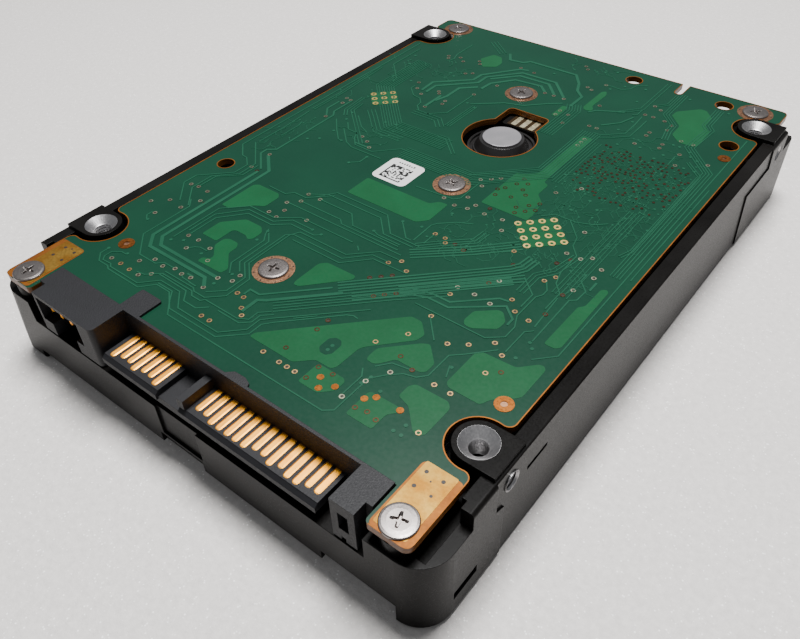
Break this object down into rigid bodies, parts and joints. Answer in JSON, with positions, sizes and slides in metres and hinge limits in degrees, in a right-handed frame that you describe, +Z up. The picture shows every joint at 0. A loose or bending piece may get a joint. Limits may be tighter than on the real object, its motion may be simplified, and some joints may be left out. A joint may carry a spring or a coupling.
{
  "type": "hard disk drive",
  "caption": "Compact hard disk drive: cast base, screwed-on circuit board, keyed plug, spinning platters and a swinging head actuator under a flat cover.",
  "frame": {"origin": "middle of the cover's outer face, which the drive lies on, under the middle of the bounding box", "axes": "+Z up towards the circuit board and the bottom mounting holes, +Y along the drive away from the plug end, +X across the drive, to the right when the plug end faces the viewer"},
  "size_m": [0.0702, 0.1004, 0.015],
  "materials": {
    "black_casting": "black electrocoat over cast aluminium, semi-gloss",
    "cover_plate": "satin, lightly brushed",
    "rubber_seal": "matte",
    "steel_screw": "nickel plated, fine grain",
    "label_paper": "plain white film",
    "motor_black": "black coated, turned",
    "motor_cap": "light grey satin",
    "flex_film": "brown film",
    "lamination": "stacked sheets",
    "copper_wire": "enamelled copper",
    "ground_steel": "ground",
    "machined_aluminium": "fine turned",
    "magnet": "nickel plated",
    "platter_surface": "mirror polished",
    "inner_plastic": "moulded",
    "slider_ceramic": "lapped ceramic",
    "chip_plastic": "moulded epoxy",
    "nickel_steel": "nickel plated",
    "ramp_plastic": "natural white polymer",
    "thin_steel": "etched sheet",
    "filter_felt": "white felt",
    "board_green": "green solder mask over glass laminate",
    "foam": "thin black foam",
    "passive_ceramic": "ceramic",
    "plug_plastic": "dark moulded, fine texture",
    "gold_contact": "gold plated",
    "sticker_paper": "white paper"
  },
  "bodies": {
    "drive_body": {"base_casting": "black_casting", "board_passives": "passive_ceramic", "board_sticker": "sticker_paper", "breather_filter": "filter_felt", "bulkhead_connector": "plug_plastic", "circuit_board": "board_green", "controller_chip": "chip_plastic", "cover_gasket": "rubber_seal", "cover_label": "label_paper", "cover_screws": "steel_screw", "crash_stops": "rubber_seal", "diagnostic_pins": "gold_contact", "drive_plug": "plug_plastic", "flex_bracket": "nickel_steel", "flex_cable": "flex_film", "latch_pin": "ground_steel", "load_ramp": "ramp_plastic", "memory_chips": "chip_plastic", "motor_driver_chip": "chip_plastic", "motor_end_cap": "motor_cap", "motor_flange": "motor_black", "motor_flex": "flex_film", "pcb_insulator": "foam", "pcb_screws": "steel_screw", "pivot_shaft": "ground_steel", "plug_contacts": "gold_contact", "ramp_screw": "steel_screw", "recirculation_filter": "filter_felt", "spindle_shaft": "ground_steel", "stator_coils": "copper_wire", "stator_core": "lamination", "top_cover": "cover_plate", "vcm_base_plate": "nickel_steel", "vcm_cover_plate": "nickel_steel", "vcm_magnets": "magnet", "vcm_posts": "nickel_steel"},
    "spindle": {"bearing_sleeve": "ground_steel", "spindle_hub": "machined_aluminium", "rotor_magnet": "magnet", "platter_1": "platter_surface", "platter_2": "platter_surface", "platter_3": "platter_surface", "disk_spacer_1": "machined_aluminium", "disk_spacer_2": "machined_aluminium", "disk_clamp": "machined_aluminium", "clamp_screws": "steel_screw"},
    "actuator": {"pivot_bearings": "ground_steel", "pivot_sleeve": "ground_steel", "actuator_block": "machined_aluminium", "voice_coil": "copper_wire", "coil_overmold": "inner_plastic", "head_sliders": "slider_ceramic", "preamp_chip": "chip_plastic", "suspension_1": "thin_steel", "suspension_2": "thin_steel", "suspension_3": "thin_steel", "suspension_4": "thin_steel", "suspension_5": "thin_steel", "suspension_6": "thin_steel"},
    "latch": {"latch_arm": "inner_plastic"}
  },
  "joints": [
    {"name": "spindle_spin", "type": "hinge", "parent": "drive_body", "child": "spindle", "pos_m": [0, 0.016, 0.0055], "axis": [0, 0, 1], "continuous": true},
    {"name": "actuator_swing", "type": "hinge", "parent": "drive_body", "child": "actuator", "pos_m": [-0.0115, -0.0225, 0.0055], "axis": [0, 0, 1], "range_deg": [0, 35]},
    {"name": "latch_swing", "type": "hinge", "parent": "drive_body", "child": "latch", "pos_m": [-0.0205, -0.0449, 0.0046], "axis": [0, 0, 1], "range_deg": [0, 8]}
  ]
}
